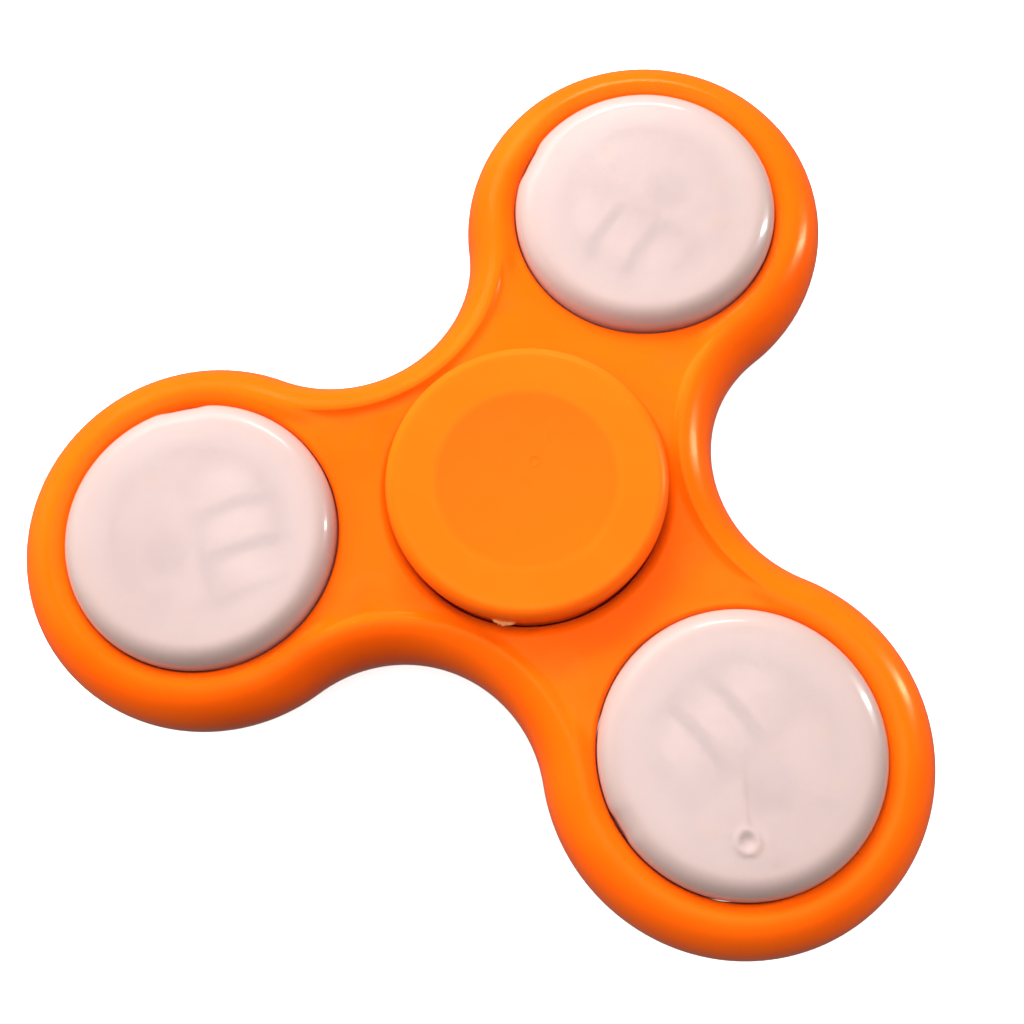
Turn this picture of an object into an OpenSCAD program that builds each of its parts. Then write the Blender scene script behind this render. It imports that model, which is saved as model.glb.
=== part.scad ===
// Three-arm fidget spinner with a light-up pod in each arm.
// Millimetres. +Z is the spin axis, the origin is the centre of the bearing,
// and arm "a" points along +Y. Arms "b" and "c" follow anticlockwise.

/* [Frame] */
// Distance from the spin axis to the axis of each light pod
arm_radius = 26.5; // [26:0.1:30]
// Outer radius of the round end of each arm
lobe_radius = 15.3; // [14.8:0.1:16.5]
// Radius of the hollow curve between two arms
flank_radius = 11.4; // [11:0.1:13]
// Thickness of the frame at its raised rim
frame_thickness = 8.6; // [8:0.1:9.4]
// Rounding of the rim, top and bottom
rim_round = 2.6; // [2:0.1:2.8]
// Width of the raised rim that runs round the whole outline
rim_width = 3; // [2.9:0.1:3.2]
// Depth of the deck inside the rim, on each side
deck_drop = 0.4; // [0.2:0.05:0.6]

/* [Ball bearing] */
// Outer diameter of the ball bearing
bearing_od = 22; // [22:22]
// Bore of the ball bearing
bearing_bore = 8; // [8:8]
// Width of the ball bearing
bearing_width = 7; // [7:7]
// Diameter of one ball
ball_d = 3.969; // [3.9:0.001:4]
// Number of balls
ball_count = 7; // [6:7]
// Play between a ball and each raceway
ball_play = 0.015; // [0.01:0.005:0.03]

/* [Finger caps] */
// Diameter of each finger cap
cap_d = 22.4; // [20:0.1:23]
// Thickness of the finger cap's disc
cap_thickness = 1.9; // [1.6:0.1:2.2]
// Height of a finger cap's face above the middle of the bearing
cap_height = 7; // [6.8:0.1:7.6]
// Radius of the shallow finger dish
dish_radius = 7.4; // [6:0.1:8.5]
// Depth of the shallow finger dish
dish_depth = 0.65; // [0.3:0.05:0.9]

/* [Light pods] */
// Diameter of a pod, and of its hole in the frame
pod_d = 22; // [22:0.1:22.4]
// Height of a pod's crown above the middle of the bearing
pod_height = 6.1; // [5.8:0.1:6.4]
// Rounding of the pod's shoulder
pod_round = 1.6; // [1.2:0.1:1.8]
// Turn of each pod in its hole, in degrees, for arms a, b and c
pod_turns = [-14, 10, 2]; // [-20:1:20]

/* [Button cells] */
// Diameter of a button cell
cell_d = 7.9; // [7.9:7.9]
// Thickness of a button cell
cell_thickness = 3.6; // [3.6:3.6]
// How far the row of cells lies from the pod's axis, towards the hub
cell_offset = 3; // [2.8:0.1:3.1]

/* [Switch] */
// Diameter of the push button on the back of each pod
button_d = 3.2; // [2.8:0.1:3.4]
// How far the button stands out of the pod
button_proud = 0.45; // [0.3:0.05:0.6]
// Distance of the button from the pod's axis, away from the hub
switch_offset = 3.4; // [3.2:0.1:3.6]
// Travel of the button
button_travel = 0.25; // [0.2:0.05:0.3]

/* [Hidden] */
$fn = 96;
eps = 0.01;
arm_letters = ["a", "b", "c"];
pod_parts = ["dome_top", "dome_bottom", "circuit_board", "light_emitters", "driver_chip",
    "resistor", "switch_body", "push_button", "positive_clip", "negative_clip",
    "cell_1", "cell_2", "cell_3"];

// Outline: the centre of each flank curve lies where it is tangent to two lobes
tangent_span = lobe_radius + flank_radius;
flank_centre = (arm_radius + sqrt(4 * pow(tangent_span, 2) - 3 * pow(arm_radius, 2))) / 2;
flank_half_sweep = asin(arm_radius * sin(60) / tangent_span);
lobe_half_sweep = flank_half_sweep + 60;
lobe_steps = 26;
flank_steps = 12;
rim_steps = 6;
rim_inner = rim_width + 0.6;
frame_half = frame_thickness / 2;
deck_z = frame_half - deck_drop;

// Hub hole and pod holes
bore_edge = 0.6;
pod_edge = 0.35;
press_gap = 0.02;

// Bearing
bearing_half = bearing_width / 2;
pitch_radius = (bearing_od + bearing_bore) / 4;
groove_radius = ball_d / 2 + 0.045;
outer_land_radius = 8.55;
inner_land_radius = 6.45;
shield_seat_radius = 9.15;
shield_seat_z = 2.95;
shield_thickness = 0.25;
race_chamfer = 0.3;
cage_thickness = 1.3;
cage_floor_z = -2.75;
cage_top_z = 1.2;
cage_pocket_radius = ball_d / 2 + 0.08;

// Finger caps
cap_edge_round = 0.9;
cap_lower_round = 0.3;
cap_boss_radius = 5.4;
cap_stem_radius = bearing_bore / 2 - 0.01;
cap_stem_end = 0.1;
dish_slope = 1;

// Pod shells: two halves that meet at the middle of the frame
pod_radius = pod_d / 2 - press_gap;
pod_wall = 1.08;
pod_roof = 0.9;
crown_radius = 95;
spigot_wall = 0.75;
spigot_gap = 0.05;
spigot_floor = -3.2;
rib_count = 4;
rib_width = 0.8;
rib_depth = 1.1;

// Circuit board, clamped between the lower shell's spigot and the upper shell's ribs
board_radius = 9.6;
board_bottom = 1.6;
board_thickness = 0.8;
board_top = board_bottom + board_thickness;
board_slot_half = 5.95;
row_half = 1.5 * cell_thickness;
cell_slot_edge = cell_d / 2 + 0.2 - cell_offset;

// Button cells
cell_can_height = 3.3;
cell_cap_radius = 3.2;
cell_edge = 0.3;
cell_spring_gap = 0.3;
clip_width = 4.4;
clip_height = 2.8;
clip_foot = 2.2;

// Light emitters: angle from the arm's direction, and distance from the pod's axis
emitter_places = [[31, 7.5], [-31, 7.5], [63, 6.6], [-63, 6.6]];
emitter_size = [2.4, 1.7, 0.7];
emitter_lens_radius = 0.75;

// Driver chip, resistor and switch
chip_radius = 1.9;
chip_height = 0.8;
resistor_size = [0.8, 1.6, 0.5];
resistor_offset = 3.4;
switch_size = 3.6;
switch_height = 2.5;
switch_recess_radius = 1.1;
button_tip_reach = 0.2;
switch_recess_depth = button_tip_reach + button_travel + 0.2;
button_play = 0.15;
button_flange_radius = 2.2;
button_flange_z = -4.9;
button_flange_thickness = 0.5;
button_tip_radius = 0.9;
button_face_round = 0.3;

// ---------------------------------------------------------------- placement

// Puts a pod's part on arm number i. Its own +Y then points away from the hub.
module on_arm(i) {
    rotate(120 * i) translate([0, arm_radius, 0]) rotate(pod_turns[i]) children();
}

// ---------------------------------------------------------------- frame

function on_circle(centre_radius, centre_turn, radius, turn, z) =
    [centre_radius * cos(centre_turn) + radius * cos(turn),
        centre_radius * sin(centre_turn) + radius * sin(turn), z];

// The three-lobed outline, moved inwards by inset, as points anticlockwise at height z
function outline(inset, z) = [for (i = [0:2]) let (out = 90 + 120 * i) each concat(
    [for (k = [0:lobe_steps]) let (turn = out + lobe_half_sweep * (2 * k / lobe_steps - 1))
        on_circle(arm_radius, out, lobe_radius - inset, turn, z)],
    [for (k = [1:flank_steps - 1])
        let (turn = out + 240 - flank_half_sweep * (2 * k / flank_steps - 1))
        on_circle(flank_centre, out + 60, flank_radius + inset, turn, z)])];

// Inset and height round the rim's section: rounded outside, a slope down to the deck inside
rim_upper = concat(
    [for (k = [0:rim_steps]) let (turn = 90 * k / rim_steps)
        [rim_round * (1 - cos(turn)), frame_half - rim_round * (1 - sin(turn))]],
    [[rim_width, frame_half], [rim_inner, frame_half + rim_width - rim_inner]]);
rim_section = concat([for (k = [len(rim_upper) - 1:-1:0]) [rim_upper[k].x, -rim_upper[k].y]],
    rim_upper);

// The raised, rounded rim alone: a closed band that follows the outline
module rim() {
    rings = [for (row = rim_section) outline(row.x, row.y)];
    n = len(rings[0]);
    rows = len(rings);
    polyhedron([for (ring = rings) each ring],
        [for (r = [0:rows - 1], j = [0:n - 1]) let (next = (j + 1) % n, up = (r + 1) % rows)
            each [[r * n + j, up * n + j, up * n + next],
                [r * n + j, up * n + next, r * n + next]]]);
}

// Flat deck inside the rim
module deck() {
    linear_extrude(2 * deck_z, center = true)
        polygon([for (p = outline((rim_width + rim_inner) / 2, 0)) [p.x, p.y]]);
}

// A round hole through the frame with a bevelled edge at both decks
module bevelled_hole(radius, bevel) {
    cylinder(r = radius, h = frame_thickness + 2, center = true);
    for (side = [0, 1]) mirror([0, 0, side])
        translate([0, 0, deck_z - bevel])
            cylinder(r1 = radius, r2 = radius + bevel + 1, h = bevel + 1);
}

module frame() {
    color("darkorange") difference() {
        union() {
            rim();
            deck();
        }
        bevelled_hole(bearing_od / 2, bore_edge);
        for (i = [0:2]) on_arm(i) bevelled_hole(pod_d / 2, pod_edge);
    }
}

// ---------------------------------------------------------------- ball bearing

// Bevelled ring section between two radii, centred on the bearing's middle
module ring_section(inner, outer) {
    c = race_chamfer;
    polygon([[inner + c, -bearing_half], [outer - c, -bearing_half],
        [outer, c - bearing_half], [outer, bearing_half - c],
        [outer - c, bearing_half], [inner + c, bearing_half],
        [inner, bearing_half - c], [inner, c - bearing_half]]);
}

module bearing_outer_race() {
    groove_centre = pitch_radius + ball_d / 2 + ball_play - groove_radius;
    color("silver") rotate_extrude() difference() {
        ring_section(outer_land_radius, bearing_od / 2);
        translate([groove_centre, 0]) circle(groove_radius);
        for (side = [0, 1]) mirror([0, side])
            translate([outer_land_radius - 1, shield_seat_z])
                square([shield_seat_radius - outer_land_radius + 1, 2]);
    }
}

module bearing_inner_race() {
    groove_centre = pitch_radius - ball_d / 2 - ball_play + groove_radius;
    color("silver") rotate_extrude() difference() {
        ring_section(bearing_bore / 2, inner_land_radius);
        translate([groove_centre, 0]) circle(groove_radius);
    }
}

module bearing_shield(side) {
    color("gainsboro") mirror([0, 0, side]) rotate_extrude()
        translate([inner_land_radius + 0.1, shield_seat_z])
            square([shield_seat_radius - inner_land_radius - 0.1 - press_gap, shield_thickness]);
}

// Snap-in cage: a ring under the balls with a cupped pocket for each of them
module bearing_cage() {
    color("ivory") difference() {
        translate([0, 0, cage_floor_z]) difference() {
            cylinder(r = pitch_radius + cage_thickness / 2, h = cage_top_z - cage_floor_z);
            translate([0, 0, -1])
                cylinder(r = pitch_radius - cage_thickness / 2, h = cage_top_z - cage_floor_z + 2);
        }
        for (k = [1:ball_count]) at_ball(k) sphere(cage_pocket_radius);
    }
}

module at_ball(k) {
    rotate(360 * (k - 1) / ball_count) translate([0, pitch_radius, 0]) children();
}

module bearing_ball(k) {
    color("white") at_ball(k) sphere(d = ball_d);
}

// ---------------------------------------------------------------- finger caps

// Disc with a rounded edge and a shallow dish, a boss that rests on the inner
// race and a stem that presses into its bore
module finger_cap() {
    disc_bottom = cap_height - cap_thickness;
    radius = cap_d / 2;
    stem_chamfer = 0.4;
    color("orange") rotate_extrude() {
        difference() {
            union() {
                translate([0, disc_bottom])
                    square([radius - cap_edge_round, cap_thickness]);
                translate([0, disc_bottom + cap_lower_round])
                    square([radius, cap_thickness - cap_edge_round - cap_lower_round]);
                translate([radius - cap_edge_round, cap_height - cap_edge_round])
                    circle(cap_edge_round);
                translate([radius - cap_lower_round, disc_bottom + cap_lower_round])
                    circle(cap_lower_round);
                translate([0, disc_bottom]) square([radius - cap_lower_round, cap_lower_round]);
            }
            polygon([[-1, cap_height - dish_depth],
                [dish_radius - dish_slope, cap_height - dish_depth],
                [dish_radius, cap_height], [dish_radius, cap_height + 1], [-1, cap_height + 1]]);
            translate([-2, 0]) square([2, cap_height + 1]);
        }
        translate([0, bearing_half]) square([cap_boss_radius, disc_bottom - bearing_half + eps]);
        polygon([[0, cap_stem_end], [cap_stem_radius - stem_chamfer, cap_stem_end],
            [cap_stem_radius, cap_stem_end + stem_chamfer],
            [cap_stem_radius, bearing_half + eps], [0, bearing_half + eps]]);
    }
}

module top_cap() {
    finger_cap();
}

module bottom_cap() {
    mirror([0, 0, 1]) finger_cap();
}

// ---------------------------------------------------------------- light pod shells

// Half section of a crowned drum that stands on z = 0
module drum_section(radius, height, round) {
    crown_drop = pow(radius - round, 2) / (2 * crown_radius);
    shoulder_z = height - crown_drop - round;
    intersection() {
        union() {
            square([radius - round, height]);
            square([radius, shoulder_z]);
            translate([radius - round, shoulder_z]) circle(round);
        }
        translate([0, height - crown_radius]) circle(crown_radius, $fn = 720);
        square([radius + 1, height + 1]);
    }
}

module pod_shell() {
    difference() {
        rotate_extrude() drum_section(pod_radius, pod_height, pod_round);
        translate([0, 0, -eps]) rotate_extrude()
            drum_section(pod_radius - pod_wall, pod_height - pod_roof + eps, pod_round - pod_roof / 2);
    }
}

// Upper shell, with ribs inside that hold the circuit board down
module dome_top() {
    rib_start = pod_radius - pod_wall - rib_depth + 0.2;
    color("mistyrose") {
        pod_shell();
        for (k = [0:rib_count - 1]) rotate(45 + 360 * k / rib_count)
            translate([rib_start, -rib_width / 2, board_top])
                cube([rib_depth, rib_width, pod_height - pod_roof - board_top - 0.3]);
    }
}

// Lower shell, with a spigot that slips inside the upper shell and a hole for the button
module dome_bottom() {
    spigot_radius = pod_radius - pod_wall - spigot_gap;
    color("mistyrose") difference() {
        union() {
            mirror([0, 0, 1]) pod_shell();
            rotate_extrude() {
                translate([spigot_radius - spigot_wall, spigot_floor])
                    square([spigot_wall, board_bottom - spigot_floor]);
                translate([spigot_radius - eps, spigot_floor])
                    square([spigot_gap + 0.2, -spigot_floor - 0.1]);
            }
        }
        translate([0, switch_offset, -pod_height - 1])
            cylinder(r = button_d / 2 + button_play, h = 3);
    }
}

// ---------------------------------------------------------------- pod electronics

module circuit_board() {
    color("whitesmoke") translate([0, 0, board_bottom]) difference() {
        cylinder(r = board_radius, h = board_thickness);
        translate([-board_slot_half, -board_radius - 1, -1])
            cube([2 * board_slot_half, board_radius + 1 + cell_slot_edge, board_thickness + 2]);
    }
}

module light_emitters() {
    color("khaki") for (place = emitter_places) rotate(place[0])
        translate([0, place[1], board_top]) {
            translate([-emitter_size.x / 2, -emitter_size.y / 2, 0]) cube(emitter_size);
            intersection() {
                translate([0, 0, emitter_size.z - 0.2]) sphere(emitter_lens_radius);
                translate([-1, -1, emitter_size.z - 0.1]) cube(2);
            }
        }
}

// Driver chip under a low drop of black resin
module driver_chip() {
    cap_sphere = (pow(chip_radius, 2) + pow(chip_height, 2)) / (2 * chip_height);
    color("slategray") translate([0, switch_offset, board_top]) intersection() {
        translate([0, 0, chip_height - cap_sphere]) sphere(cap_sphere);
        cylinder(r = chip_radius + 1, h = chip_height + 1);
    }
}

module resistor() {
    color("linen")
        translate([resistor_offset - resistor_size.x / 2, switch_offset - resistor_size.y / 2, board_top])
            cube(resistor_size);
}

module switch_body() {
    color("darkslategray") translate([0, switch_offset, board_bottom - switch_height])
        difference() {
            translate([-switch_size / 2, -switch_size / 2, 0])
                cube([switch_size, switch_size, switch_height]);
            translate([0, 0, -1]) cylinder(r = switch_recess_radius, h = 1 + switch_recess_depth);
        }
}

// Button with a flange that keeps it in the shell and a tip that works the switch
module push_button() {
    crown_drop = pow(switch_offset, 2) / (2 * crown_radius);
    face_z = -(pod_height - crown_drop + button_proud);
    flange_top = button_flange_z + button_flange_thickness;
    tip_z = board_bottom - switch_height + button_tip_reach;
    radius = button_d / 2;
    color("snow") translate([0, switch_offset, 0]) rotate_extrude()
        polygon([[0, face_z], [radius - button_face_round, face_z],
            [radius, face_z + button_face_round], [radius, button_flange_z],
            [button_flange_radius, button_flange_z], [button_flange_radius, flange_top],
            [button_tip_radius, flange_top], [button_tip_radius, tip_z], [0, tip_z]]);
}

// One button cell, its flat faces towards +X and -X. The raised cap faces +X.
module button_cell(k) {
    color("lightgray")
        translate([(k - 2.5) * cell_thickness, -cell_offset, 0]) rotate([0, 90, 0])
            rotate_extrude() polygon([[0, 0], [cell_d / 2 - cell_edge, 0], [cell_d / 2, cell_edge],
                [cell_d / 2, cell_can_height - cell_edge], [cell_d / 2 - cell_edge, cell_can_height],
                [cell_cap_radius, cell_can_height], [cell_cap_radius, cell_thickness],
                [0, cell_thickness]]);
}

// Bent contact strip at one end of the row of cells, its foot soldered to the board
module contact_clip(side) {
    color("silver") mirror([side, 0, 0]) translate([0, clip_width / 2 - cell_offset, 0])
        rotate([90, 0, 0]) linear_extrude(clip_width) {
            translate([row_half, -clip_height])
                square([cell_spring_gap, clip_height + board_top + cell_spring_gap]);
            translate([row_half, board_top]) square([clip_foot, cell_spring_gap]);
        }
}

module positive_clip() {
    contact_clip(1);
}

module negative_clip() {
    contact_clip(0);
}

// ---------------------------------------------------------------- assembly

frame();
bearing_outer_race();
bearing_inner_race();
bearing_shield(0);  // bearing_shield_top
bearing_shield(1);  // bearing_shield_bottom
bearing_cage();
for (k = [1:ball_count])
    bearing_ball(k);
top_cap();
bottom_cap();

for (i = [0:2]) {
    letter = arm_letters[i];
    on_arm(i) dome_top();
    on_arm(i) dome_bottom();
    on_arm(i) circuit_board();
    on_arm(i) light_emitters();
    on_arm(i) driver_chip();
    on_arm(i) resistor();
    on_arm(i) switch_body();
    on_arm(i) push_button();
    on_arm(i) positive_clip();
    on_arm(i) negative_clip();
    for (k = [1:3])
        on_arm(i) button_cell(k);
}
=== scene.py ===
import math

import bmesh
import bpy
import numpy as np
from mathutils import Matrix, Vector
from mathutils.geometry import delaunay_2d_cdt


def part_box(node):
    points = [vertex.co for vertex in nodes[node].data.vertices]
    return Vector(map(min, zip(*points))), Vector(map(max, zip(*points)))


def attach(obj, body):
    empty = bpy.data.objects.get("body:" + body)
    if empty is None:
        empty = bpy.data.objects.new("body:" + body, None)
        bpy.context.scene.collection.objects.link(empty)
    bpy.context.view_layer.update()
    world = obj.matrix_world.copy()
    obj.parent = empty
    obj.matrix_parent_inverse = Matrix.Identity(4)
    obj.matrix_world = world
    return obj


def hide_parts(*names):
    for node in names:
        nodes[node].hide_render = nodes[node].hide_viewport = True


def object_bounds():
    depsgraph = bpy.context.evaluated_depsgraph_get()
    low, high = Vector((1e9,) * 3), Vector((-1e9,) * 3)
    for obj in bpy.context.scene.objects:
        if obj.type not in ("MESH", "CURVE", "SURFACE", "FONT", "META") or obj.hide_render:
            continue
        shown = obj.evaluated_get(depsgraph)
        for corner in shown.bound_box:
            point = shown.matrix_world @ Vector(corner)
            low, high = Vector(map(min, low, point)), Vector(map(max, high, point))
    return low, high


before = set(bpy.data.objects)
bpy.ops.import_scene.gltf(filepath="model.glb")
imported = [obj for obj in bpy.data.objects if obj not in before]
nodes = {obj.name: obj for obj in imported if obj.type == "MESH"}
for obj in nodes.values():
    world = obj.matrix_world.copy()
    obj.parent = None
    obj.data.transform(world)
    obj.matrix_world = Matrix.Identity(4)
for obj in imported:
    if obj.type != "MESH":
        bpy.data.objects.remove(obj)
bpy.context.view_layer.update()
scene = bpy.context.scene

MM = 0.001
SIDES = (1, -1)
FAR = 100.0
LETTERS = ("a", "b", "c")


def box_mm(node):
    """Lowest and highest corner of a CAD node, in millimetres."""
    low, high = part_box(node)
    return np.array(low) / MM, np.array(high) / MM


# ------------------------------------------------------------------ sizes, in millimetres

POD = {}
for letter in LETTERS:
    low, high = box_mm(f"dome_top_{letter}")
    POD[letter] = (low + high)[:2] / 2
low, high = box_mm("dome_top_a")
POD_RADIUS = (high - low)[0] / 2
POD_TOP = high[2]
low, high = box_mm("top_cap")
CAP_RADIUS = (high - low)[0] / 2
CAP_TOP = high[2]
low, high = box_mm("frame")
FRAME_HALF = high[2]
ARM_RADIUS = float(np.linalg.norm(POD["a"]))
LOBE_RADIUS = high[1] - ARM_RADIUS
BEARING_HALF = box_mm("bearing_outer_race")[1][2]

FLANK_RADIUS = 11.4
DECK_DROP = 0.4
DECK_Z = FRAME_HALF - DECK_DROP
CREST_INSET = 3.0
CREST_SLOPE = 0.9
BEAD_SLOPE = 1.5
FLANK_BLEND = 1.6
NOSE_WIDTH = 3.3
NOSE_POWER = 2.1
BAND_INSET = 3.1
LIP_ROUND = 0.5
POD_HOLE = POD_RADIUS + 0.06
WELL_EDGE = 12.1
WELL_WALL = 11.02
WELL_ROUND = 1.3
SINK_RADIUS = 15.4
SINK_TURN = 27.5
SINK_DEPTH = 0.15
SINK_WIDTH = 0.85

# Extra rings of points that keep the deck's triangles even beside its edges, and the grid between
DECK_RINGS = (3.25, 3.4, 3.6, 3.8, 4.0)
HUB_RINGS = (12.3, 12.6, 13.0)
POD_RING_GAPS = (0.2, 0.5)
GRID_PITCH = 0.62
GRID_INSET = 4.1
GRID_REACH = 70
CLEARANCE = 0.12
CLEARANCE_BAND = 0.1
CLOSEST = 0.16


# ------------------------------------------------------------------ meshes

def piece(name, points, faces, material, body, replaced):
    """A smooth mesh object from points in millimetres, riding on a body in place of CAD nodes."""
    mesh = bpy.data.meshes.new(name)
    mesh.from_pydata([tuple(p) for p in np.asarray(points) * MM], [], faces)
    made = bmesh.new()
    made.from_mesh(mesh)
    bmesh.ops.remove_doubles(made, verts=made.verts, dist=1e-6)
    bmesh.ops.recalc_face_normals(made, faces=made.faces)
    made.to_mesh(mesh)
    made.free()
    mesh.shade_smooth()
    mesh.materials.append(material)
    made_object = bpy.data.objects.new(name, mesh)
    scene.collection.objects.link(made_object)
    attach(made_object, body)
    if replaced:
        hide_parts(*replaced)
    return made_object


def bands(rings):
    """Points and quads of a surface through closed rings that all have the same number of points."""
    count = len(rings[0])
    faces = []
    for row in range(len(rings) - 1):
        start, up = row * count, (row + 1) * count
        for k in range(count):
            after = (k + 1) % count
            faces.append((start + k, start + after, up + after, up + k))
    return np.concatenate(rings), faces


def lathe(profile, segments):
    """Points and faces of a profile of (radius, z) turned about the Z axis, from pole to pole."""
    turns = np.linspace(0, 2 * math.pi, segments, endpoint=False)
    rings = [np.column_stack([r * np.cos(turns), r * np.sin(turns), np.full(segments, z)])
             for r, z in profile[1:-1]]
    points, faces = bands(rings)
    top, bottom = len(points), len(points) + 1
    last = len(points) - segments
    points = np.vstack([points, [0, 0, profile[0][1]], [0, 0, profile[-1][1]]])
    for k in range(segments):
        after = (k + 1) % segments
        faces.append((top, after, k))
        faces.append((bottom, last + k, last + after))
    return points, faces


def arc(centre, radii, start, stop, steps):
    """Points (radius, z) on a quarter or part of an ellipse, angles in degrees."""
    turns = np.radians(np.linspace(start, stop, steps + 1))
    return [(centre[0] + radii[0] * math.cos(t), centre[1] + radii[1] * math.sin(t)) for t in turns]


def smooth(x):
    """Smooth step from 0 to 1."""
    x = np.clip(x, 0, 1)
    return x * x * (3 - 2 * x)


# ------------------------------------------------------------------ frame

TANGENT_SPAN = LOBE_RADIUS + FLANK_RADIUS
FLANK_CENTRE = (ARM_RADIUS + math.sqrt(4 * TANGENT_SPAN ** 2 - 3 * ARM_RADIUS ** 2)) / 2
FLANK_SWEEP = math.degrees(math.asin(ARM_RADIUS * math.sin(math.radians(60)) / TANGENT_SPAN))
LOBE_SWEEP = FLANK_SWEEP + 60
LOBE_STEPS = 132
FLANK_STEPS = 48
ARM_TURNS = (90, 210, 330)


def direction(degrees):
    """Unit vectors in the XY plane at angles in degrees."""
    turn = np.radians(degrees)
    return np.stack([np.cos(turn), np.sin(turn)], axis=-1)


def outline_points():
    """Points of the outline anticlockwise, and the unit vector that points inwards at each."""
    points, inwards = [], []
    for out in ARM_TURNS:
        turns = out + LOBE_SWEEP * np.linspace(-1, 1, LOBE_STEPS + 1)
        ray = direction(turns)
        points.append(ARM_RADIUS * direction(out) + LOBE_RADIUS * ray)
        inwards.append(-ray)
        turns = out + 240 - FLANK_SWEEP * np.linspace(-1, 1, FLANK_STEPS + 1)[1:-1]
        ray = direction(turns)
        points.append(FLANK_CENTRE * direction(out + 60) + FLANK_RADIUS * ray)
        inwards.append(ray)
    return np.concatenate(points), np.concatenate(inwards)


def inset(xy):
    """Distance of points inside the outline from the outline."""
    nearest = np.full(len(xy), 1e9)
    for out in ARM_TURNS:
        for centre_radius, centre_turn, facing, sweep, radius, sign in (
                (ARM_RADIUS, out, out, LOBE_SWEEP, LOBE_RADIUS, 1),
                (FLANK_CENTRE, out + 60, out + 240, FLANK_SWEEP, FLANK_RADIUS, -1)):
            away = xy - centre_radius * direction(centre_turn)
            length = np.linalg.norm(away, axis=1)
            turn = np.degrees(np.arctan2(away[:, 1], away[:, 0])) - facing
            turn = np.abs((turn + 180) % 360 - 180)
            distance = sign * (radius - length)
            nearest = np.where((turn <= sweep + 0.01) & (distance < nearest), distance, nearest)
    return nearest


def deck_height(xy, distance):
    """Height of the frame's upper face, from the crest of the rim inwards, without the fillets."""
    crisp = np.clip(1 - (distance - CREST_INSET) / CREST_SLOPE, 0, 1) ** 2
    bead = 1 - smooth((distance - CREST_INSET) / BEAD_SLOPE)
    to_pod = np.min([np.linalg.norm(xy - POD[letter], axis=1) for letter in LETTERS], axis=0)
    flank = smooth((to_pod - LOBE_RADIUS + CREST_INSET) / FLANK_BLEND)
    height = DECK_Z + (CREST_Z - DECK_Z) * (flank * crisp + (1 - flank) * bead)
    for out in ARM_TURNS:
        for side in SIDES:
            sink = SINK_RADIUS * direction(out + side * SINK_TURN)
            away = np.linalg.norm(xy - sink, axis=1) / SINK_WIDTH
            height = height - SINK_DEPTH * np.exp(-away ** 2)
    return height


def inside(xy, loop):
    """Whether each point is inside a closed loop of points."""
    result = np.zeros(len(xy), bool)
    for p, q in zip(loop, np.roll(loop, -1, axis=0)):
        if p[1] == q[1]:
            continue
        crosses = (p[1] > xy[:, 1]) != (q[1] > xy[:, 1])
        at = p[0] + (xy[:, 1] - p[1]) * (q[0] - p[0]) / (q[1] - p[1])
        result ^= crosses & (xy[:, 0] < at)
    return result


def even(curve, count):
    """The same curve with count + 1 points, evenly spaced along it."""
    curve = np.array(curve)
    along = np.concatenate([[0], np.cumsum(np.linalg.norm(np.diff(curve, axis=0), axis=1))])
    at = np.linspace(0, along[-1], count + 1)
    return np.column_stack([np.interp(at, along, curve[:, k]) for k in range(2)])


def nose_curve():
    """(inset, height) round the outside of the rim, from the widest point up to the crest."""
    curve = []
    for t in np.linspace(0, math.pi / 2, 400):
        out = NOSE_WIDTH * (1 - math.cos(t) ** (2 / NOSE_POWER))
        if out > CREST_INSET:
            break
        curve.append((out, FRAME_HALF * math.sin(t) ** (2 / NOSE_POWER)))
    return even(curve, 16)


NOSE = nose_curve()
CREST_Z = NOSE[-1][1]


def circle_rings(centre, edge, wall, drop, steps, count):
    """Rings of a fillet from the deck, at radius edge, down into a round hole of radius wall."""
    ray = direction(np.linspace(0, 360, count, endpoint=False))
    rings = []
    for t in np.linspace(0, math.pi / 2, steps + 1):
        xy = centre + (edge - (edge - wall) * math.sin(t)) * ray
        z = deck_height(xy, inset(xy)) - drop * (1 - math.cos(t))
        rings.append(np.column_stack([xy, z]))
    return rings


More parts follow.
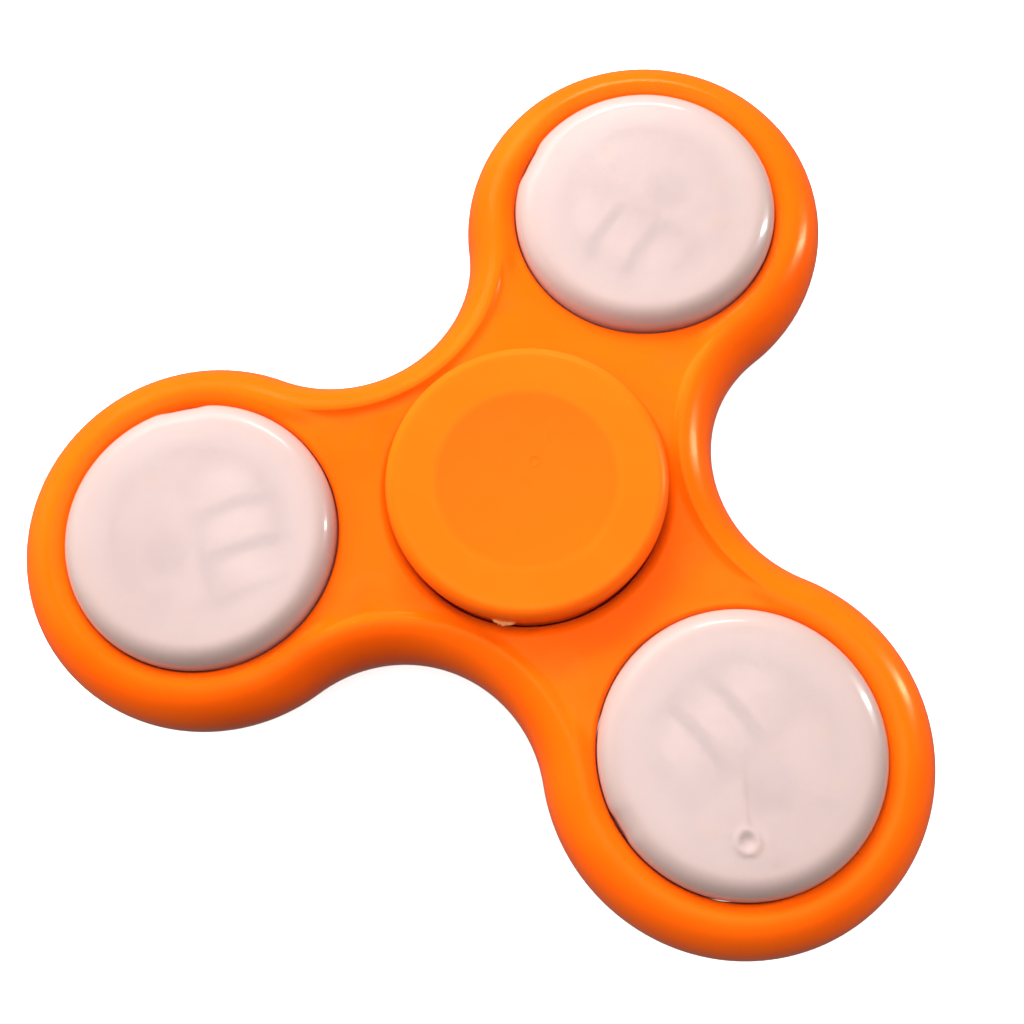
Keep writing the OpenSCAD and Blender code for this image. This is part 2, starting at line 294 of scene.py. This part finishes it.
def frame_side():
    """Points and faces of the upper half of the frame."""
    edge, inwards = outline_points()
    parts = []
    rim = [np.column_stack([edge + d * inwards, np.full(len(edge), z)]) for d, z in NOSE]
    xy = edge + BAND_INSET * inwards
    rim.append(np.column_stack([xy, deck_height(xy, np.full(len(edge), BAND_INSET))]))
    parts.append(bands(rim))
    hub = circle_rings(np.zeros(2), WELL_EDGE, WELL_WALL, WELL_ROUND, 12, 216)
    hub.append(hub[-1] * (1, 1, 0))
    parts.append(bands(hub))
    loops = [rim[-1][:, :2], hub[0][:, :2]]
    for letter in LETTERS:
        rings = circle_rings(POD[letter], POD_HOLE + LIP_ROUND, POD_HOLE, LIP_ROUND, 7, 192)
        rings.append(rings[-1] * (1, 1, 0))
        parts.append(bands(rings))
        loops.append(rings[0][:, :2])

    free = [edge + d * inwards for d in DECK_RINGS]
    for r in HUB_RINGS:
        free.append(r * direction(np.linspace(0, 360, 200, endpoint=False)))
    for letter in LETTERS:
        for gap in POD_RING_GAPS:
            ray = direction(np.linspace(0, 360, 160, endpoint=False))
            free.append(POD[letter] + (POD_HOLE + LIP_ROUND + gap) * ray)
    span = np.arange(-GRID_REACH, GRID_REACH + 1)
    col, row = np.meshgrid(span, span)
    grid = np.column_stack([((col + 0.5 * (row % 2)) * GRID_PITCH).ravel(),
                            (row * GRID_PITCH * math.sqrt(3) / 2).ravel()])
    away = inset(grid)
    free.append(grid[(away > GRID_INSET) & (away < FAR) & inside(grid, loops[0])])
    free = np.concatenate(free)
    keep = inside(free, loops[0])
    keep &= inset(free) > BAND_INSET + CLEARANCE_BAND
    keep &= np.linalg.norm(free, axis=1) > WELL_EDGE + CLEARANCE
    for letter in LETTERS:
        keep &= np.linalg.norm(free - POD[letter], axis=1) > POD_HOLE + LIP_ROUND + CLEARANCE
    free = free[keep]
    chosen, cells = [], set()
    for p in free:
        cell = (round(p[0] / CLOSEST), round(p[1] / CLOSEST))
        if cell not in cells:
            cells.add(cell)
            chosen.append(p)

    points = np.concatenate(loops + [np.array(chosen)])
    edges, start = [], 0
    for loop in loops:
        edges += [(start + k, start + (k + 1) % len(loop)) for k in range(len(loop))]
        start += len(loop)
    found, _, triangles, _, _, _ = delaunay_2d_cdt(
        [Vector(p) for p in points], edges, [], 0, 1e-6, False)
    found = np.array([(p[0], p[1]) for p in found])
    triangles = np.array([list(t) for t in triangles])
    middle = found[triangles].mean(axis=1)
    good = inside(middle, loops[0])
    for loop in loops[1:]:
        good &= ~inside(middle, loop)
    deck = np.column_stack([found, deck_height(found, inset(found))])
    parts.append((deck, [tuple(t) for t in triangles[good]]))
    return parts


def join(parts):
    """One list of points and one of faces from several."""
    points, faces, start = [], [], 0
    for part_points, part_faces in parts:
        points.append(part_points)
        faces += [tuple(int(k) + start for k in face) for face in part_faces]
        start += len(part_points)
    return np.concatenate(points), faces


def build_frame(material):
    """The whole frame: the upper half and its mirror image, welded where they meet."""
    upper = frame_side()
    lower = [(np.asarray(points) * (1, 1, -1), [tuple(reversed(face)) for face in faces])
             for points, faces in upper]
    points, faces = join(upper + lower)
    return piece("spinner_frame", points, faces, material, "rotor", ["frame"])


# ------------------------------------------------------------------ finger caps

CAP_UNDERSIDE = CAP_TOP - 1.9
CAP_EDGE_ROUND = 0.95
CAP_LOWER_ROUND = 0.3
CAP_BOSS = 5.4
CAP_STEM = 3.99
CAP_STEM_END = 0.1
DISH_DEPTH = 0.55
DISH_EDGE = 7.3
DISH_SOFT = 0.12
GATE = np.array([0.0, 1.7])
GATE_RADIUS = 0.42
DISH_TINT = 0.8
FLASH_STEPS = 16
FLASH_TURNS = (278.5, 287.5)
FLASH_REACH = 0.34
FLASH_THICKNESS = 0.07
FLASH_SEED = 7


def dish_depth(r):
    """Depth of the shallow hollow dish at radius r, with its edge rounded over."""
    at = (DISH_EDGE - r) / DISH_SOFT
    within = DISH_SOFT * math.log1p(math.exp(min(at, 40))) if at < 40 else DISH_EDGE - r
    return DISH_DEPTH * (1 - (1 - min(within / DISH_EDGE, 1)) ** 2)


def cap_profile():
    """(radius, z) of a cap from the middle of its dish, over the edge and down to the stem's end."""
    radii = list(np.arange(0, 2.9, 0.1)) + list(np.arange(2.9, DISH_EDGE - 0.7, 0.3))
    radii += list(np.arange(DISH_EDGE - 0.6, DISH_EDGE + 0.65, 0.1))
    radii += list(np.arange(DISH_EDGE + 0.9, CAP_RADIUS - CAP_EDGE_ROUND, 0.35))
    profile = []
    for r in radii:
        profile.append((r, CAP_TOP - dish_depth(r)))
    corner = CAP_RADIUS - CAP_EDGE_ROUND
    profile += arc((corner, CAP_TOP - CAP_EDGE_ROUND), (CAP_EDGE_ROUND,) * 2, 90, 0, 14)
    corner = CAP_RADIUS - CAP_LOWER_ROUND
    profile += arc((corner, CAP_UNDERSIDE + CAP_LOWER_ROUND), (CAP_LOWER_ROUND,) * 2, 0, -90, 6)
    profile += [(8.5, CAP_UNDERSIDE), (CAP_BOSS + 0.2, CAP_UNDERSIDE), (CAP_BOSS, CAP_UNDERSIDE - 0.2),
                (CAP_BOSS, BEARING_HALF + 0.15), (CAP_BOSS - 0.15, BEARING_HALF),
                (CAP_STEM + 0.1, BEARING_HALF), (CAP_STEM, BEARING_HALF - 0.1),
                (CAP_STEM, CAP_STEM_END + 0.4), (CAP_STEM - 0.4, CAP_STEM_END), (0, CAP_STEM_END)]
    return profile


def flash_sliver():
    """A thin torn frill of moulding flash at the lower edge of the upper cap."""
    steps = FLASH_STEPS
    rows = []
    draw = np.random.default_rng(FLASH_SEED)
    swell = np.sin(np.linspace(0, math.pi, steps + 1)) ** 0.6
    reach = FLASH_REACH * swell * draw.uniform(0.55, 1.1, steps + 1)
    turns = np.linspace(*FLASH_TURNS, steps + 1)
    for low in (0, 1):
        for out in (0, 1):
            rows.append([np.append((CAP_RADIUS - 0.12 + out * (0.16 + r)) * direction(t),
                                   CAP_UNDERSIDE + 0.24 - low * FLASH_THICKNESS - out * 0.5 * r)
                         for t, r in zip(turns, reach)])
    upper_in, upper_out, lower_in, lower_out = rows
    ring = [upper_in, upper_out, lower_out, lower_in]
    points = np.array([p for row in ring for p in row])
    count = steps + 1
    faces = []
    for r in range(4):
        after = (r + 1) % 4
        for k in range(steps):
            faces.append((r * count + k, r * count + k + 1, after * count + k + 1, after * count + k))
    faces.append(tuple(r * count for r in range(4)))
    faces.append(tuple(r * count + steps for r in reversed(range(4))))
    return points, faces


def build_cap(name, side, node, material, flash_paint):
    """A finger cap with its gate mark and flow line, and a frill of flash if it has paint for one."""
    points, faces = lathe(cap_profile(), 240)
    away = np.linalg.norm(points[:, :2] - GATE, axis=1)
    top = points[:, 2] > CAP_UNDERSIDE + 0.5
    mark = 0.035 * np.exp(-((away - GATE_RADIUS) / 0.09) ** 2) - 0.03 * np.exp(-(away / 0.3) ** 2)
    ahead = points[:, 1] - GATE[1]
    drift = points[:, 0] - GATE[0] - 0.05 * ahead - 0.012 * ahead ** 2
    fade = smooth((ahead - 0.4) / 0.5) * (1 - smooth((ahead - 3) / 2))
    flow = 0.012 * np.exp(-(drift / 0.22) ** 2) * fade
    points[:, 2] += np.where(top, mark + flow, 0)
    parts = [(points, faces)]
    if flash_paint:
        parts.append(flash_sliver())
    points, faces = join(parts)
    points = points * (1, 1, side)
    made = piece(name, points, faces, material, "hub", [node])
    if flash_paint:
        made.data.materials.append(flash_paint)
        for face in made.data.polygons[-len(parts[1][1]):]:
            face.material_index = 1
    return made


# ------------------------------------------------------------------ light pods

POD_WALL = 1.08
POD_ROOF = 0.9
CROWN_RADIUS = 95.0
SHOULDER_WIDTH = 1.8
SHOULDER_HEIGHT = 1.5
FLATS = {"a": (177, 9, 0.2), "b": (123, 9, 0.22), "c": (233, 6, 0.14)}
GATE_MARK = np.array([2.4, -6.2])
GATE_MARK_RADIUS = 0.8
TRAILS = (((-2.4, 0.2), (0.4, -1.8), (2.0, -5.2)),
          ((3.6, -5.4), (4.8, -6.8)))


def dome_outside(r):
    """Height of a dome's crown and shoulder above the frame's middle, at radius r."""
    crown = POD_TOP - r ** 2 / (2 * CROWN_RADIUS)
    out = np.clip((r - (POD_RADIUS - SHOULDER_WIDTH)) / SHOULDER_WIDTH, 0, 1)
    return crown - SHOULDER_HEIGHT * (1 - math.sqrt(1 - out ** 2))


def dome_profile():
    """(radius, z) of a domed half shell, from the top of the crown to the middle of the roof inside."""
    radii = list(np.arange(0, POD_RADIUS - SHOULDER_WIDTH, 0.24))
    radii += [POD_RADIUS - SHOULDER_WIDTH * (1 - math.sin(t))
              for t in np.linspace(0, math.pi / 2, 18)]
    profile = [(r, dome_outside(r)) for r in radii]
    profile += [(POD_RADIUS, z) for z in (3.6, 3.0, 2.0, 1.0, 0.1)] + [(POD_RADIUS - 0.1, 0)]
    inner = POD_RADIUS - POD_WALL
    profile += [(inner + 0.1, 0), (inner, 0.1)] + [(inner, z) for z in (1.0, 2.0, 3.0, 4.0)]
    round_in = 1.15
    corner = inner - round_in
    roof = POD_TOP - POD_ROOF
    drop = corner ** 2 / (2 * CROWN_RADIUS)
    profile += arc((corner, roof - drop - round_in), (round_in,) * 2, 0, 90, 8)
    profile += [(r, roof - r ** 2 / (2 * CROWN_RADIUS)) for r in np.linspace(corner, 0, 24)[1:]]
    return profile


def to_trail(xy, trail):
    """Distance of points from a line through several points."""
    nearest = np.full(len(xy), 1e9)
    for start, stop in zip(trail[:-1], trail[1:]):
        along = stop - start
        at = np.clip((xy - start) @ along / (along @ along), 0, 1)
        nearest = np.minimum(nearest, np.linalg.norm(xy - start - at[:, None] * along, axis=1))
    return nearest


def build_dome(letter, material):
    """The upper shell of one pod, with its worn flat, and on pod c a gate mark and two scratches."""
    points, faces = lathe(dome_profile(), 216)
    radius = np.linalg.norm(points[:, :2], axis=1)
    turn = np.degrees(np.arctan2(points[:, 1], points[:, 0]))
    at, half, depth = FLATS[letter]
    near = np.exp(-(((turn - at + 180) % 360 - 180) / half) ** 4)
    shoulder = smooth((radius - 8) / 2.5) * (points[:, 2] > 3.3) * (radius > 8)
    shrink = 1 - depth * near * shoulder / np.maximum(radius, 1)
    points[:, :2] *= shrink[:, None]
    if letter == "c":
        away = np.linalg.norm(points[:, :2] - GATE_MARK, axis=1)
        top = points[:, 2] > POD_TOP - 0.6
        mark = 0.16 * np.exp(-((away - GATE_MARK_RADIUS) / 0.24) ** 2) - 0.12 * np.exp(-(away / 0.5) ** 2)
        for trail in TRAILS:
            mark += 0.09 * np.exp(-(to_trail(points[:, :2], np.array(trail)) / 0.15) ** 2)
        points[:, 2] += np.where(top, mark, 0)
    points[:, :2] += POD[letter]
    return piece(f"pod_dome_{letter}", points, faces, material, "rotor",
                 [f"dome_top_{letter}"])


# ------------------------------------------------------------------ materials

class Paint:
    """A material with a Principled shader, and short ways to add nodes in front of it."""

    def __init__(self, name, **inputs):
        self.material = bpy.data.materials.new(name)
        self.material.use_nodes = True
        self.tree = self.material.node_tree
        self.shader = self.tree.nodes["Principled BSDF"]
        for key, value in inputs.items():
            self.shader.inputs[key.replace("_", " ")].default_value = value
        self.place = self.tree.nodes.new("ShaderNodeTexCoord").outputs["Object"]

    def link(self, source, target):
        self.tree.links.new(source, target)

    def scaled(self, scale):
        """Object coordinates times a scale for each axis, so that 1000 is one unit a millimetre."""
        mapping = self.tree.nodes.new("ShaderNodeMapping")
        mapping.inputs["Scale"].default_value = scale
        self.link(self.place, mapping.inputs["Vector"])
        return mapping.outputs["Vector"]

    def noise(self, scale, detail=2.0, roughness=0.5, distortion=0.0):
        """Noise with about scale features a millimetre; scale is a number or one for each axis."""
        sizes = (scale,) * 3 if isinstance(scale, (int, float)) else scale
        node = self.tree.nodes.new("ShaderNodeTexNoise")
        node.inputs["Scale"].default_value = 1.0
        node.inputs["Detail"].default_value = detail
        node.inputs["Roughness"].default_value = roughness
        node.inputs["Distortion"].default_value = distortion
        self.link(self.scaled(tuple(s / MM for s in sizes)), node.inputs["Vector"])
        return node.outputs["Fac"]

    def spread(self, value, low, high, start=0.0, stop=1.0):
        """Value from start to stop spread over low to high."""
        node = self.tree.nodes.new("ShaderNodeMapRange")
        node.inputs["From Min"].default_value = start
        node.inputs["From Max"].default_value = stop
        node.inputs["To Min"].default_value = low
        node.inputs["To Max"].default_value = high
        self.link(value, node.inputs["Value"])
        return node.outputs["Result"]

    def mix(self, factor, first, second):
        """Mix of two colours; either may be a colour or a socket."""
        node = self.tree.nodes.new("ShaderNodeMix")
        node.data_type = "RGBA"
        self.link(factor, node.inputs[0])
        for socket, colour in ((node.inputs[6], first), (node.inputs[7], second)):
            if isinstance(colour, tuple):
                socket.default_value = (*colour, 1)
            else:
                self.link(colour, socket)
        return node.outputs[2]

    def math(self, operation, *values):
        node = self.tree.nodes.new("ShaderNodeMath")
        node.operation = operation
        for socket, value in zip(node.inputs, values):
            if isinstance(value, (int, float)):
                socket.default_value = value
            else:
                self.link(value, socket)
        return node.outputs[0]

    def axes(self):
        node = self.tree.nodes.new("ShaderNodeSeparateXYZ")
        self.link(self.place, node.inputs[0])
        return node.outputs

    def radius(self):
        """Distance from the spin axis, in metres."""
        x, y, _ = self.axes()
        return self.math("SQRT", self.math("ADD", self.math("MULTIPLY", x, x),
                                           self.math("MULTIPLY", y, y)))

    def bump(self, *layers):
        """Bump from (height socket, distance in millimetres) layers, one on top of the other."""
        last = None
        for height, distance in layers:
            node = self.tree.nodes.new("ShaderNodeBump")
            node.inputs["Strength"].default_value = 1.0
            node.inputs["Distance"].default_value = distance * MM
            self.link(height, node.inputs["Height"])
            if last:
                self.link(last, node.inputs["Normal"])
            last = node.outputs["Normal"]
        self.link(last, self.shader.inputs["Normal"])

    def colour(self, socket):
        self.link(socket, self.shader.inputs["Base Color"])

    def roughness(self, socket):
        self.link(socket, self.shader.inputs["Roughness"])


def orange_plastic(name, light, deep, rough, pits, specks=(), dish=None):
    """Moulded orange plastic: soft streaks of flow, fine orange peel and a few dark specks."""
    paint = Paint(name, Specular_IOR_Level=0.3, IOR=1.5, Specular_Tint=(1.0, 0.66, 0.25, 1))
    streaks = paint.noise((0.05, 0.09, 0.12), 3.0, 0.55, 0.6)
    shade = paint.mix(paint.spread(streaks, 0, 1, 0.35, 0.65), deep, light)
    for x, y, z, size in specks:
        away = paint.tree.nodes.new("ShaderNodeVectorMath")
        away.operation = "DISTANCE"
        paint.link(paint.place, away.inputs[0])
        away.inputs[1].default_value = (x * MM, y * MM, z * MM)
        speck = paint.math("LESS_THAN", away.outputs["Value"], size * MM)
        shade = paint.mix(speck, shade, SPECK_BROWN)
    if dish:
        in_dish = paint.spread(paint.radius(), DISH_TINT, 0, (DISH_EDGE - 0.35) * MM, (DISH_EDGE + 0.1) * MM)
        shade = paint.mix(in_dish, shade, dish)
    paint.colour(shade)
    patches = paint.noise(0.35, 3.0, 0.6)
    paint.roughness(paint.spread(patches, rough * 0.85, rough * 1.25, 0.3, 0.7))
    paint.bump((paint.noise(0.45, 1.0), 0.018), (paint.noise(6.0, 2.0), pits))
    return paint.material


CLEAR_RADIUS = 6.6
MILKY_RADIUS = 10.5
EDGE_CLEARNESS = 0.3


def milky_plastic(name, centre, light, deep, see):
    """Milky see-through plastic, less clear round a pod's wall and coloured a darker pink there as painted
    orange bounce light and painted shade, clouded, with a faint peel.
    """
    paint = Paint(name, Specular_IOR_Level=0.5, IOR=1.4, Coat_Weight=0.55, Coat_Roughness=0.12)
    away = paint.tree.nodes.new("ShaderNodeVectorMath")
    away.operation = "DISTANCE"
    paint.link(paint.scaled((1, 1, 0)), away.inputs[0])
    away.inputs[1].default_value = (*(centre * MM), 0)
    radius = away.outputs["Value"]
    through = paint.spread(radius, see, see * EDGE_CLEARNESS, CLEAR_RADIUS * MM, MILKY_RADIUS * MM)
    paint.link(through, paint.shader.inputs["Transmission Weight"])
    clouds = paint.noise(0.22, 4.0, 0.6, 0.4)
    cloudy = paint.mix(paint.spread(clouds, 0, 1, 0.3, 0.7), deep, light)
    # Round the wall the colour turns to a darker pink: painted orange bounce light from the frame and
    # painted shade
    edge = paint.spread(radius, 0, 1, CLEAR_RADIUS * MM, MILKY_RADIUS * MM)
    paint.colour(paint.mix(edge, cloudy, PAINTED_BOUNCE_EDGE))
    paint.roughness(paint.spread(paint.noise(0.5, 3.0), 0.32, 0.38, 0.3, 0.7))
    paint.bump((paint.noise(0.5, 1.0), 0.012))
    return paint.material


def metal(name, light, deep, rough, grain, stretch=(1, 1, 1), metallic=1.0):
    """Metal with fine grain lines along one axis, or even grain, and smudges."""
    paint = Paint(name, Metallic=metallic)
    lines = paint.noise(tuple(grain * s for s in stretch), 3.0, 0.7)
    smudge = paint.noise(0.3, 3.0, 0.6)
    paint.colour(paint.mix(paint.spread(smudge, 0, 1, 0.3, 0.7), deep, light))
    rough_lines = paint.spread(lines, rough * 0.7, rough * 1.4, 0.3, 0.7)
    paint.roughness(rough_lines)
    paint.bump((lines, 0.004))
    return paint.material


def turned_steel(name, light, deep, rough):
    """Steel with fine rings about the spin axis, as grinding or pressing leaves."""
    paint = Paint(name, Metallic=1.0)
    rings = paint.tree.nodes.new("ShaderNodeTexNoise")
    rings.noise_dimensions = "1D"
    rings.inputs["Scale"].default_value = 9 / MM
    rings.inputs["Detail"].default_value = 3.0
    paint.link(paint.radius(), rings.inputs["W"])
    smudge = paint.noise(0.3, 3.0, 0.6)
    paint.colour(paint.mix(paint.spread(smudge, 0, 1, 0.3, 0.7), deep, light))
    paint.roughness(paint.spread(rings.outputs["Fac"], rough * 0.7, rough * 1.4, 0.3, 0.7))
    paint.bump((rings.outputs["Fac"], 0.004))
    return paint.material


def moulded(name, light, deep, rough, fine=5.0):
    """Small moulded plastic or resin part: mottled colour, uneven gloss and fine grain."""
    paint = Paint(name, Specular_IOR_Level=0.5)
    mottle = paint.noise(0.8, 4.0, 0.6)
    paint.colour(paint.mix(paint.spread(mottle, 0, 1, 0.3, 0.7), deep, light))
    paint.roughness(paint.spread(paint.noise(1.5, 3.0), rough * 0.8, rough * 1.3, 0.3, 0.7))
    paint.bump((paint.noise(fine, 2.0), 0.006))
    return paint.material


def circuit_board(name):
    """White solder mask with faint tracks under it."""
    paint = Paint(name, Specular_IOR_Level=0.5)
    bricks = paint.tree.nodes.new("ShaderNodeTexBrick")
    paint.link(paint.scaled((1 / MM,) * 3), bricks.inputs["Vector"])
    bricks.inputs["Scale"].default_value = 0.55
    bricks.inputs["Mortar Size"].default_value = 0.06
    bricks.inputs["Color1"].default_value = (0.80, 0.81, 0.78, 1)
    bricks.inputs["Color2"].default_value = (0.84, 0.85, 0.82, 1)
    bricks.inputs["Mortar"].default_value = (0.66, 0.68, 0.62, 1)
    mottle = paint.noise(0.6, 3.0)
    paint.colour(paint.mix(paint.spread(mottle, 0, 0.5, 0.3, 0.7), bricks.outputs["Color"],
                           (0.86, 0.86, 0.84)))
    paint.roughness(paint.spread(mottle, 0.3, 0.45, 0.3, 0.7))
    paint.bump((bricks.outputs["Fac"], -0.02), (paint.noise(4.0, 2.0), 0.006))
    return paint.material


def cell_row(letter):
    """Satin nickel cells of one pod, with a dark gasket line at each of the two seams between them."""
    paint = Paint(f"nickel_plated_cells_{letter}", Metallic=0.35, Specular_IOR_Level=0.5)
    first, middle, last = (sum(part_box(f"cell_{k}_{letter}"), Vector()) / 2 for k in (1, 2, 3))
    axis = (last - first).normalized()
    pitch = (last - first).length / 2
    along = paint.tree.nodes.new("ShaderNodeVectorMath")
    along.operation = "DOT_PRODUCT"
    paint.link(paint.place, along.inputs[0])
    along.inputs[1].default_value = axis
    turn = paint.math("ADD", paint.math("MULTIPLY", along.outputs["Value"], 1 / pitch),
                      0.5 - middle.dot(axis) / pitch)
    seam = paint.math("ABSOLUTE", paint.math("SUBTRACT", paint.math("FRACT", turn), 0.5))
    inner = paint.math("LESS_THAN", paint.math("ABSOLUTE", paint.math("SUBTRACT", turn, 0.5)), 1.0)
    gasket = paint.math("MULTIPLY", paint.spread(seam, 0, 1, 0.30, 0.40), inner)
    lines = paint.noise((1.2, 1.2, 6.0), 3.0, 0.7)
    plate = paint.mix(paint.spread(lines, 0, 1, 0.3, 0.7), (0.80, 0.86, 0.81), (0.90, 0.96, 0.91))
    paint.colour(paint.mix(gasket, plate, (0.02, 0.04, 0.06)))
    paint.roughness(paint.spread(lines, 0.42, 0.6, 0.3, 0.7))
    paint.bump((lines, 0.004))
    return paint.material


def emitters(name, lens_height):
    """White emitter cases with a drop of yellow phosphor on top."""
    paint = Paint(name, Specular_IOR_Level=0.5)
    lens = paint.math("GREATER_THAN", paint.axes()[2], lens_height * MM)
    mottle = paint.noise(2.0, 3.0)
    case = paint.mix(mottle, (0.86, 0.86, 0.83), (0.93, 0.93, 0.91))
    drop = paint.mix(mottle, (0.90, 0.72, 0.22), (0.96, 0.82, 0.38))
    paint.colour(paint.mix(lens, case, drop))
    paint.roughness(paint.spread(lens, 0.45, 0.12))
    paint.bump((mottle, 0.008))
    return paint.material


SPECK_BROWN = (0.05, 0.012, 0.004)
RIM_SPECKS = ((-31.6, -6.4, 4.0, 0.2), (33.4, -9.8, 4.0, 0.22), (18.2, -19.6, 4.1, 0.12))
FRAME_PAINT = orange_plastic("frame_orange_abs", (0.95, 0.118, 0.002), (0.92, 0.099, 0.001), 0.22,
                             0.0012, RIM_SPECKS)
CAP_PAINT = orange_plastic("cap_orange_abs", (0.96, 0.126, 0.003), (0.95, 0.116, 0.002), 0.36, 0.002,
                           dish=(0.93, 0.1, 0.002))
FLASH_PAINT = moulded("pale_flash", (0.95, 0.42, 0.16), (0.9, 0.3, 0.08), 0.5)
# Darker pink for a pod's wall: painted orange bounce light from the frame, and painted shade that tones down
# its lit side
PAINTED_BOUNCE_EDGE = (0.52, 0.37, 0.33)
DIFFUSER = {letter: milky_plastic(f"milky_diffuser_{letter}", POD[letter], (0.86, 0.70, 0.675),
                                  (0.83, 0.66, 0.63), 0.66)
            for letter in LETTERS}
EMITTER_LENS = 3.15

PAINTS = {
    "bearing_outer_race": turned_steel("ground_race_steel", (0.74, 0.74, 0.75), (0.62, 0.62, 0.64), 0.16),
    "bearing_inner_race": turned_steel("ground_bore_steel", (0.76, 0.76, 0.77), (0.64, 0.64, 0.66), 0.16),
    "bearing_shield": turned_steel("pressed_shield_steel", (0.66, 0.66, 0.67), (0.54, 0.54, 0.56), 0.32),
    "bearing_ball": metal("polished_ball_steel", (0.84, 0.84, 0.85), (0.76, 0.76, 0.78), 0.06, 3.0),
    "bearing_cage": moulded("cage_nylon", (0.80, 0.77, 0.66), (0.72, 0.68, 0.56), 0.5),
    "circuit_board": circuit_board("white_circuit_board"),
    "light_emitters": emitters("emitter_case_and_phosphor", EMITTER_LENS),
    "driver_chip": moulded("grey_chip_resin", (0.33, 0.345, 0.37), (0.27, 0.28, 0.30), 0.3),
    "resistor": moulded("resistor_coat", (0.62, 0.60, 0.56), (0.54, 0.52, 0.48), 0.5),
    "switch_body": moulded("switch_black", (0.06, 0.06, 0.065), (0.035, 0.035, 0.04), 0.45),
    "push_button": moulded("button_white", (0.90, 0.89, 0.86), (0.84, 0.82, 0.78), 0.28),
    "positive_clip": metal("plated_contact_strip", (0.60, 0.60, 0.57), (0.50, 0.50, 0.47), 0.5, 2.0,
                           (1, 1, 8)),
    "negative_clip": metal("plated_contact_strip_dull", (0.58, 0.58, 0.55), (0.48, 0.48, 0.45), 0.55,
                           2.0, (1, 1, 8)),
}

for letter in LETTERS:
    PAINTS[f"dome_bottom_{letter}"] = DIFFUSER[letter]
    row_paint = cell_row(letter)
    for k in (1, 2, 3):
        PAINTS[f"cell_{k}_{letter}"] = row_paint

build_frame(FRAME_PAINT)
build_cap("finger_cap_top", 1, "top_cap", CAP_PAINT, FLASH_PAINT)
build_cap("finger_cap_bottom", -1, "bottom_cap", CAP_PAINT, None)
for letter in LETTERS:
    build_dome(letter, DIFFUSER[letter])

for name, node_object in nodes.items():
    for start, paint in PAINTS.items():
        if name.startswith(start):
            node_object.data.materials.clear()
            node_object.data.materials.append(paint)

# ------------------------------------------------------------------ floor, light and camera

floor_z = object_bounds()[0][2]
FLOOR_HALF = 1.5
FLOOR_GLOW = 0.7
SKY_LIGHT = 0.18
SKY_SEEN = 0.9


def build_floor():
    """A pale floor that glows a little and throws no light or reflection on the object."""
    made = bmesh.new()
    bmesh.ops.create_grid(made, x_segments=24, y_segments=24, size=FLOOR_HALF)
    for v in made.verts:
        v.co.z = floor_z
    mesh = bpy.data.meshes.new("floor")
    made.to_mesh(mesh)
    made.free()
    paint = Paint("pale_floor", Specular_IOR_Level=0.1, Emission_Color=(1, 1, 1, 1),
                  Emission_Strength=FLOOR_GLOW)
    paint.colour(paint.mix(paint.noise(0.02, 2.0), (0.93, 0.93, 0.93), (0.95, 0.95, 0.95)))
    paint.roughness(paint.spread(paint.noise(0.1, 2.0), 0.7, 0.8))
    mesh.materials.append(paint.material)
    made_object = bpy.data.objects.new("floor", mesh)
    made_object.visible_diffuse = False
    made_object.visible_glossy = False
    scene.collection.objects.link(made_object)


build_floor()

TARGET = Vector((-0.41, -2.23, DECK_Z)) * MM
CAMERA_BACK = Vector((0.135, -0.232, 0.963))
CAMERA_UP = Vector((-0.356, 0.896, 0.266))
CAMERA_DISTANCE = 106.15 * MM
CAMERA_LENS = 46.57
camera_data = bpy.data.cameras.new("camera")
camera_data.lens = CAMERA_LENS
camera_data.sensor_width = 36.0
camera_data.clip_start = 0.01
camera = bpy.data.objects.new("camera", camera_data)
back = CAMERA_BACK.normalized()
right = CAMERA_UP.cross(back).normalized()
up = back.cross(right)
turn = Matrix((right, up, back)).transposed()
camera.matrix_world = Matrix.Translation(TARGET + back * CAMERA_DISTANCE) @ turn.to_4x4()
scene.collection.objects.link(camera)
scene.camera = camera


def softbox(name, across, along, out, size, power, glossy=True):
    """An area light placed from the target by image right, image up and height, in metres.

    A light that isn't glossy shows in no reflection; one that is shows through no shell.
    """
    data = bpy.data.lights.new(name, "AREA")
    data.shape = "RECTANGLE"
    data.size, data.size_y = size
    data.energy = power
    flat_right = Vector((right.x, right.y, 0)).normalized()
    flat_up = Vector((-flat_right.y, flat_right.x, 0))
    made_object = bpy.data.objects.new(name, data)
    made_object.visible_glossy = glossy
    made_object.visible_transmission = not glossy
    made_object.location = TARGET + flat_right * across + flat_up * along + Vector((0, 0, out))
    aim = TARGET - made_object.location
    made_object.rotation_euler = aim.to_track_quat("-Z", "Y").to_euler()
    scene.collection.objects.link(made_object)


softbox("key_soft", -0.12, 0.27, 0.18, (0.30, 0.14), 2.2, glossy=False)
softbox("key_shine", 0.02, 0.27, 0.19, (0.10, 0.05), 0.16)
softbox("side_from_right", 0.34, 0.12, 0.13, (0.03, 0.14), 0.65)
softbox("fill_from_left", -0.34, 0.06, 0.16, (0.22, 0.22), 0.85, glossy=False)
softbox("overhead", 0.02, 0.0, 0.40, (0.34, 0.34), 1.3, glossy=False)

# The sky is brighter where the camera sees it than where it lights the object
world = bpy.data.worlds.new("studio")
world.use_nodes = True
world.node_tree.nodes["Background"].inputs["Color"].default_value = (1.0, 0.99, 0.98, 1)
sky = world.node_tree.nodes["Background"]
seen = world.node_tree.nodes.new("ShaderNodeLightPath").outputs["Is Camera Ray"]
strength = world.node_tree.nodes.new("ShaderNodeMapRange")
strength.inputs["To Min"].default_value = SKY_LIGHT
strength.inputs["To Max"].default_value = SKY_SEEN
world.node_tree.links.new(seen, strength.inputs["Value"])
world.node_tree.links.new(strength.outputs["Result"], sky.inputs["Strength"])
scene.world = world
scene.view_settings.view_transform = "Standard"
scene.cycles.denoising_input_passes = "RGB"
scene.cycles.sample_clamp_indirect = 5.0
